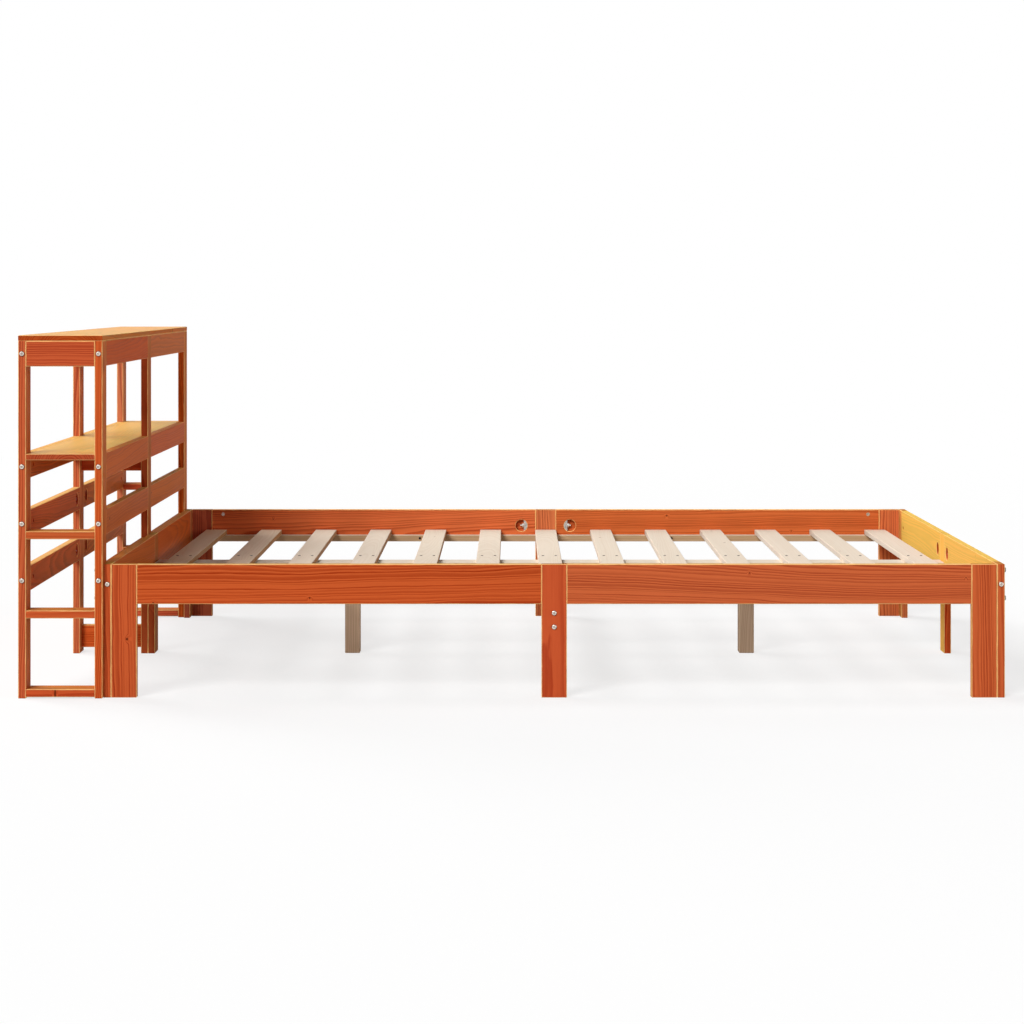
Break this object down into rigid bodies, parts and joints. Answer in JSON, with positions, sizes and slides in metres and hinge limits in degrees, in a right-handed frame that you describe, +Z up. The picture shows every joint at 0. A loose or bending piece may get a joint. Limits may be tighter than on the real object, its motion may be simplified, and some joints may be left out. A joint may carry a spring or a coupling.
{
  "type": "bed frame",
  "caption": "Double bed frame of pine boards on square-cut legs, with raw slats inside its rails and an open bookcase headboard.",
  "frame": {"origin": "middle of the footprint, on the floor", "axes": "+X from the bookcase to the foot of the bed, +Y from the near side to the far side, +Z up"},
  "size_m": [2.2502, 1.4876, 0.826],
  "materials": {
    "stained_pine": "satin stain, warm red brown",
    "raw_pine": "planed, unfinished",
    "zinc_steel": "bright zinc",
    "beech": "fluted dowel, unfinished"
  },
  "bodies": {
    "root": {"side_rail_near_head": "stained_pine", "side_rail_near_foot": "stained_pine", "side_rail_far_head": "stained_pine", "side_rail_far_foot": "stained_pine", "head_rail_near": "stained_pine", "head_rail_far": "stained_pine", "foot_rail_near": "stained_pine", "foot_rail_far": "stained_pine", "corner_leg_near_head": "stained_pine", "corner_leg_near_foot": "stained_pine", "corner_leg_far_head": "stained_pine", "corner_leg_far_foot": "stained_pine", "centre_leg_near": "stained_pine", "centre_leg_far": "stained_pine", "centre_leg_head": "stained_pine", "centre_leg_foot": "stained_pine", "case_leg_back_near": "stained_pine", "case_leg_back_middle": "stained_pine", "case_leg_back_far": "stained_pine", "case_leg_front_near": "stained_pine", "case_leg_front_middle": "stained_pine", "case_leg_front_far": "stained_pine", "case_rail_back_top": "stained_pine", "case_rail_back_shelf": "stained_pine", "case_rail_back_upper": "stained_pine", "case_rail_back_lower": "stained_pine", "case_rail_front_top": "stained_pine", "case_rail_front_shelf": "stained_pine", "case_rail_front_upper": "stained_pine", "case_rail_front_lower": "stained_pine", "case_top": "stained_pine", "case_shelf": "stained_pine", "ladder_rungs_near": "stained_pine", "ladder_rungs_far": "stained_pine", "case_aprons": "stained_pine", "case_cross_boards": "stained_pine", "centre_beam_head": "raw_pine", "centre_beam_foot": "raw_pine", "cross_beam": "raw_pine", "support_legs": "raw_pine", "batten_near": "raw_pine", "batten_far": "raw_pine", "slat_01": "raw_pine", "slat_02": "raw_pine", "slat_03": "raw_pine", "slat_04": "raw_pine", "slat_05": "raw_pine", "slat_06": "raw_pine", "slat_07": "raw_pine", "slat_08": "raw_pine", "slat_09": "raw_pine", "slat_10": "raw_pine", "slat_11": "raw_pine", "slat_12": "raw_pine", "slat_13": "raw_pine", "bolts": "zinc_steel", "barrel_nuts": "zinc_steel", "link_studs": "zinc_steel", "screws": "zinc_steel", "dowels": "beech"}
  },
  "joints": []
}
